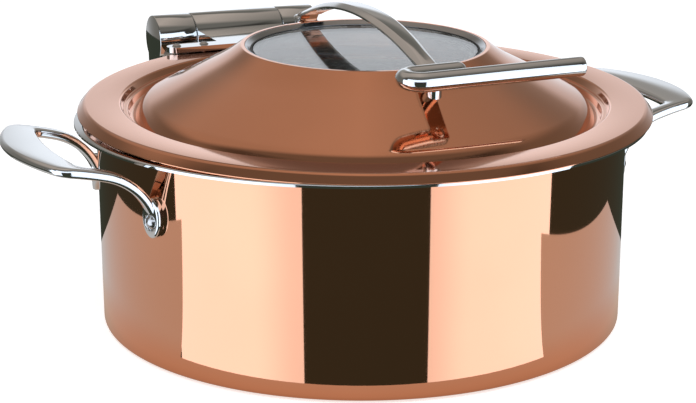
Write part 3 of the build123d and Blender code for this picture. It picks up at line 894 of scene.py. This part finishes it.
@dataclass
class FrontGrip:
    """Polished round bar whose left end turns back into a short leg."""

    radius: float = 5.2
    y: float = -122.0
    z: float = 39.8
    right: float = 69.0
    left: float = -23.0
    bend: float = 7.6
    leg_end: float = 2.5
    soft: tuple[float, float, float] = (0.0, 0.15, 0.5)

    def build(self) -> None:
        """Sweeps a circle from the right end round to the leg's rounded end."""
        turn = np.linspace(-np.pi / 2, -3 * np.pi / 2, 40)
        curve = (self.left, self.y + self.bend) + self.bend * circle(turn)
        bar = np.linspace((self.right, self.y), (self.left, self.y), 30)[:-1]
        leg_y = self.y + 2 * self.bend
        leg = np.linspace((self.left, leg_y), (self.leg_end, leg_y), 10)[1:]
        cap = np.radians([15, 30, 45, 60, 75, 86])
        dome = joined(self.leg_end + self.radius * np.sin(cap), leg_y)
        plan = np.vstack([bar, curve, leg, dome])
        size = np.full(len(plan), self.radius)
        size[-len(cap):] = self.radius * np.cos(cap)
        soft = np.array(self.soft)
        plan = np.vstack([joined(self.right - soft, self.y), plan[1:]])
        size = np.concatenate([self.radius - soft[::-1], size[1:]])
        path = joined(*plan.T, self.z)
        rings = size[:, None, None] * circle(around(40))
        across = np.cross(np.gradient(path, axis=0), [0, 0, 1.0])
        sweep("grip_bar", path, across, rings).seated().build(STEEL, Body.LID, "front_grip", sharp=40.0)


@dataclass
class Window:
    """Steel ring, black seal and glass in the lid's hole."""

    outer: float = 69.3
    inner: float = 66.0
    top: float = 33.6
    bevel: float = 2.2
    flange: float = 73.0
    flange_low: float = 25.2
    flange_high: float = 26.5
    seal: float = 65.0
    seal_ledge: float = 2.8
    seal_lip: float = 1.2
    glass_top: float = 31.1
    glass: float = 4.0
    glass_bevel: float = 0.4

    def turned(self, name: str, outline: list[Span]) -> Piece:
        """Piece turned about the lid's axis."""
        return turned(name, np.array(outline), 240).seated()

    def build(self) -> None:
        """Builds the ring, the seal and the pane."""
        ring = filleted([(self.outer, self.flange_high), (self.outer, self.top), (self.outer - 0.8, self.top),
                         (self.inner, self.top - self.bevel), (self.inner, self.flange_low),
                         (self.flange, self.flange_low), (self.flange, self.flange_high),
                         (self.outer + 0.01, self.flange_high)], [0.3, 0.4, 0.5, 0.2, 0.2, 0.2], 5)
        self.turned("window_ring", ring).build(FRAME_STEEL, Body.LID, "window_frame")
        low = self.glass_top - self.glass
        ledge = self.seal - self.seal_ledge
        seal = [(self.inner, self.glass_top + 0.2), (self.seal, self.glass_top + 0.25),
                (self.seal, low - 0.1), (ledge, low - 0.1), (ledge, low - self.seal_lip),
                (self.inner, low - self.seal_lip)]
        self.turned("window_seal", seal).build(RUBBER, Body.LID, "window_gasket")
        edge = self.seal - 0.1
        soft = edge - self.glass_bevel
        pane = [(POLE, self.glass_top), (soft, self.glass_top), (edge, self.glass_top - self.glass_bevel),
                (edge, low + self.glass_bevel), (soft, low), (POLE, low)]
        self.turned("glass_pane", pane).build(Glass(), Body.LID, "window_glass")


# Studio


@dataclass(frozen=True)
class Hood:
    """Light of the room over and behind the dish: a ceiling, its walls and a bright backdrop.

    The light is a sum. The ceiling is a smooth step of height that falls off in a straight line to
    either side and by a smooth step to the front. The walls' even light rises a little behind and
    overhead. The backdrop and its shoulder are bell curves of the angle from straight behind, times a
    falling step of elevation. A dark flag lies between backdrop and ceiling.
    """

    ceiling: float = 0.475
    right_fall: float = 0.36
    left_fall: float = 0.2
    left_most: float = 0.45
    front_share: float = 0.2
    front_bow: float = 0.55
    front: Span = (-0.55, -0.12)
    right_lift: float = 0.10
    rise: Span = (0.38, 0.66)
    wall: float = 0.04
    wall_more: float = 0.11
    wall_behind: Span = (-0.35, 0.1)
    wall_over: Span = (38.0, 48.0)
    flag_side: Span = (17.0, 27.0)
    flag_low: Span = (27.0, 36.0)
    flag_high: Span = (50.0, 54.0)
    shoulder: float = 0.2
    shoulder_width: float = 24.0
    shoulder_end: Span = (18.0, 44.0)
    backdrop: float = 0.82
    backdrop_width: float = 17.0
    backdrop_end: Span = (14.0, 22.0)
    colours: tuple[Colour, ...] = ((1.0, 0.80, 0.69), (1.0, 0.93, 0.82), (1.0, 0.95, 0.92), (0.80, 0.88, 1.0))

    def light(self, right: Array, back: Array, height: Array) -> Array:
        """Light from each direction.

        Args:
            right: its part to the camera's right.
            back: its part away from the camera.
            height: its part upwards.

        Returns:
            The colours.
        """
        level = np.degrees(np.arcsin(height))
        behind = np.degrees(np.abs(np.arctan2(right, back)))
        to_right = np.maximum(right, 0)
        to_left = np.minimum(np.maximum(-right, 0), self.left_most)
        sides = self.ceiling - self.right_fall * to_right - self.left_fall * to_left
        ahead = smooth(back - self.front_bow * right ** 2, *self.front)
        share = smooth(height - self.right_lift * to_right, *self.rise)
        more = np.maximum(smooth(back, *self.wall_behind), smooth(level, *self.wall_over))
        walls = self.wall + self.wall_more * more
        low, high = smooth(level, *self.flag_low), smooth(level, *self.flag_high)
        flag = (1 - smooth(behind, *self.flag_side)) * low * (1 - high)
        front = self.front_share + (1 - self.front_share) * ahead
        ceiling = np.maximum(sides * front - walls, 0) * share * (1 - flag)
        shoulder = self.bell(self.shoulder, behind / self.shoulder_width, level, self.shoulder_end)
        backdrop = self.bell(self.backdrop, behind / self.backdrop_width, level, self.backdrop_end)
        amounts = (ceiling, walls, shoulder, backdrop)
        return sum(amount[..., None] * np.array(colour) for amount, colour in zip(amounts, self.colours))

    def bell(self, peak: float, share: Array, level: Array, end: Span) -> Array:
        """Bell curve: peak times exp(-share^2 / 2), which fades out over a span of elevation."""
        return peak * np.exp(-0.5 * share ** 2) * (1 - smooth(level, *end))


@dataclass
class Studio:
    """Camera, world, pale floor, lamps and the cards that only reflections see."""

    place: tuple[float, float, float] = (-0.40326, -0.86503, 0.33677)
    yaw: float = 0.4288
    pitch: float = 0.2778
    roll: float = -0.0017
    focal: float = 1680.6
    photo_width: int = 696
    sensor: float = 36.0
    reach: float = 1.5
    fade_span: Span = (0.42, 0.72)
    box_colour: Colour = (0.80, 0.88, 1.0)
    floor_half: float = 30.0
    floor_low: float = -0.0004
    floor_white: float = 0.9
    floor_level: float = 0.66
    world_grey: Colour = (0.75, 0.75, 0.76)
    world_level: float = 0.55
    dim_room: Colour = (0.038, 0.044, 0.032)
    table_radius: float = 0.1725
    table_swing: float = 46.0
    table_front: tuple[Span, Span] = ((-0.378, 0.160), (0.342, 0.156))
    table_back: Span = (-0.379, 0.352)
    table_rear: float = -0.127
    table_low: float = -0.0002
    table_pale: Colour = (1.0, 0.96, 0.93)
    table_warm: Colour = (1.0, 0.72, 0.55)
    # the table card's glow next to the base, where it is a painted contact shadow, and further out
    table_shadow_and_lit_levels: Span = (0.42, 0.53)
    hood_radius: float = 8.0

    def camera(self) -> None:
        """Camera at the photograph's place, with its focal length carried from pixels to the sensor."""
        data = bpy.data.cameras.new("camera")
        data.sensor_width = self.sensor
        data.lens = self.focal / self.photo_width * self.sensor
        data.clip_start = 0.01
        made = linked("camera", data)
        made.location = self.place
        made.rotation_euler = (math.pi / 2 - self.pitch, -self.roll, -self.yaw)
        bpy.context.scene.camera = made

    def facing(self, right: Array, ahead: Array, height: Array) -> Array:
        """Points in the dish's frame from places to the camera's right, towards it and up."""
        c, s = circle(self.yaw)
        return joined(right * c - ahead * s, -right * s - ahead * c, height)

    def panel(self, name: str, turns: Span, heights: Span, strength: float, reach: float | None = None,
              fade: float = 1.0) -> None:
        """Adds a curved soft box round the dish.

        Angles are in degrees from the direction that points at the camera, growing to the right.

        Args:
            name: the card's name.
            turns: its left and right edges' angles.
            heights: its lower and upper edges' heights in metres.
            strength: its brightness.
            reach: its distance in metres.
            fade: share of the brightness left at its end near the camera's direction.
        """
        away = reach or self.reach
        angle = np.radians(np.linspace(*turns, 24))[:, None]
        grid = self.facing(away * np.sin(angle), away * np.cos(angle), np.array([heights]))
        shader = Shader(name)
        x, y, _ = shader.axes((1 / away, 1 / away, 1.0))
        side = x * math.cos(self.yaw) - y * math.sin(self.yaw)
        level = side * (1.0 if turns[1] > 0 else -1.0)
        dull, full = (tuple(c * share for c in self.box_colour) for share in (strength * fade, strength))
        self.card(name, grid, shader, shader.mix(level.span(*self.fade_span, 0.0, 1.0), dull, full))

    def card(self, name: str, grid: Array, shader: Shader, colour: Wire, light: Array | None = None) -> None:
        """Makes a card that only reflections see.

        Args:
            name: the card's name.
            grid: its points in metres.
            shader: its material's shader.
            colour: the light that it gives.
            light: a colour for each point, for the attribute "light".
        """
        mesh = bpy.data.meshes.new(name)
        mesh.from_pydata(grid.reshape(-1, 3).tolist(), [], grid_faces(*grid.shape[:2], False, False).tolist())
        if light is not None:
            values = np.concatenate([light.reshape(-1, 3), np.ones((light.size // 3, 1))], 1)
            mesh.attributes.new("light", "FLOAT_COLOR", "POINT").data.foreach_set("color", values.ravel())
        mesh.materials.append(shader.glow(colour))
        made = linked(name, mesh)
        for ray in ("camera", "diffuse", "shadow", "transmission"):
            setattr(made, "visible_" + ray, False)

    def floor(self) -> None:
        """White floor that shows the dish's shadow and that reflections don't see."""
        mesh = bpy.data.meshes.new("floor")
        half = self.floor_half
        corners = [(x * half, y * half, self.floor_low) for x, y in ((-1, -1), (1, -1), (1, 1), (-1, 1))]
        mesh.from_pydata(corners, [], [(0, 1, 2, 3)])
        shader = Shader("floor_white")
        shader.feed(Base_Color=(*[self.floor_white] * 3, 1), Roughness=0.9, Emission_Color=(1, 1, 1, 1),
                    Emission_Strength=self.floor_level)
        mesh.materials.append(shader.material)
        made = linked("floor", mesh)
        made.visible_glossy = False

    def world(self) -> None:
        """White for camera and transmission rays, a dim room for glossy ones and grey for the rest."""
        world = bpy.data.worlds.new("studio")
        bpy.context.scene.world = world
        world.use_nodes = True
        nodes = Nodes(world.node_tree)
        nodes.tree.nodes.clear()
        white, grey, dim = (nodes.node("ShaderNodeBackground", {}, {"Color": (*colour, 1), "Strength": level})
                            for colour, level in (((1, 1, 1), 1.0), (self.world_grey, self.world_level),
                                                  (self.dim_room, 1.0)))
        camera, transmission, glossy = (nodes.node("ShaderNodeLightPath", {}, {}).part(f"Is {kind} Ray")
                                        for kind in ("Camera", "Transmission", "Glossy"))
        seen = nodes.node("ShaderNodeMath", {"operation": "MAXIMUM"}, {0: camera, 1: transmission})
        others = nodes.node("ShaderNodeMixShader", {}, {0: glossy, 1: grey, 2: dim})
        both = nodes.node("ShaderNodeMixShader", {}, {0: seen, 1: others, 2: white})
        out = nodes.tree.nodes.new("ShaderNodeOutputWorld")
        nodes.tree.links.new(both.socket, out.inputs[0])

    def lamps(self) -> None:
        """Two soft area lamps for the dull surfaces and the shadow."""
        for name, place, power in (("key", (-0.9, -1.1, 1.6), 9.0), ("fill", (1.2, -0.6, 1.3), 5.0)):
            data = bpy.data.lights.new(name, "AREA")
            data.energy = power
            data.size = 1.0
            made = linked(name, data)
            made.location = place
            made.rotation_mode = "QUATERNION"
            made.rotation_quaternion = (-Vector(place)).to_track_quat("-Z", "Y")
            made.visible_glossy = False

    def build(self) -> None:
        """Sets up everything that isn't the dish."""
        self.camera()
        self.world()
        self.floor()
        self.lamps()
        self.panel("left_soft_box", (-81, -23.5), (-0.95, 0.70), 1.86, fade=0.75)
        self.panel("right_soft_box", (27, 82.5), (-0.95, 0.70), 1.83, fade=0.74)
        self.panel("front_soft_box", (-60, 60), (0.43, 1.02), 1.5, reach=1.25)
        self.table()
        self.hood()

    def table(self) -> None:
        """Oblong white table that the dish stands on, warmer where copper lights it.

        Its edges run along and across the camera's direction, and its front one bows out round the base.
        Next to the base it glows dimmer: a painted contact shadow.
        """
        turn = np.radians(np.linspace(-self.table_swing, self.table_swing, 25))
        near = self.table_radius * joined(np.sin(turn), np.cos(turn))
        front = np.vstack([self.table_front[:1], near, self.table_front[1:]])
        back = joined(np.linspace(*self.table_back, len(front)), self.table_rear)
        plan = np.stack([front, back])
        shader = Shader("table")
        x, y, _ = shader.axes()
        reach = (x * x + y * y) ** 0.5
        # warmer close to the base: painted light that the copper throws on the table
        near = reach.span(0.150, 0.20, 1.0, 0.0)
        dull, full = (shader.mix(near, *(tuple(c * level for c in tint) for tint in
                                         (self.table_pale, self.table_warm))) for level in self.table_shadow_and_lit_levels)
        # dimmer between 148 and 165 mm from the centre: painted contact shadow next to the base
        self.card("table", self.facing(plan[..., 0], plan[..., 1], self.table_low), shader,
                  shader.mix(reach.span(0.148, 0.165, 0.0, 1.0), dull, full))

    def hood(self) -> None:
        """Adds the room's light as a dome round the dish."""
        up = np.radians(np.linspace(-8, 90, 57))[:, None]
        turn = np.radians(np.linspace(-180, 180, 121))[None, :]
        right, back = np.cos(up) * np.sin(turn), -np.cos(up) * np.cos(turn)
        light = Hood().light(right, back, np.sin(up))
        shader = Shader("hood")
        glow = shader.node("ShaderNodeAttribute", {"attribute_name": "light"}, {})
        self.card("hood", self.facing(right, -back, np.sin(up)) * self.hood_radius, shader, glow, light)


@dataclass
class Carried:
    """CAD nodes that keep their shape and get a finish."""

    finishes: dict[Finish, tuple[str, ...]]

    def build(self) -> None:
        """Dresses each listed node."""
        for finish, names in self.finishes.items():
            material = finish.build()
            for name in names:
                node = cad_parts[name]
                for slot in node.material_slots:
                    slot.material = material
                LOG.info("%s: %s", name, finish.name)


def main() -> None:
    """Builds the dish and the studio."""
    logging.basicConfig(level=logging.INFO, format="%(message)s")
    bpy.context.scene.view_settings.view_transform = "Standard"
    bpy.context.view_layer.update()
    Studio().build()
    Carried({
        STEEL: ("outer_knuckles", "lid_hinge_leaf", "grip_arm", "strap_posts"),
        FASTENER: ("handle_screws", "handle_nuts", "bracket_screws", "bracket_nuts", "leaf_screws",
                   "leaf_studs", "leaf_nuts", "strap_screws", "strap_nuts", "grip_screw"),
        SATIN: ("inner_pot", "food_pan", "base_cap", "hinge_bracket", "glass_retainer", "hinge_pin"),
        ALUMINIUM: ("base_core",),
        BRASS: ("hinge_bushes",),
        BRAKE: ("brake_sleeve",),
        RUBBER: ("lid_bumpers",),
    }).build()
    for part in (Pot(), SideHandle(-1), SideHandle(1), Lid(), HingeTube(), Strap(), FrontGrip(), Window()):
        part.build()


if __name__ == "__main__":
    main()
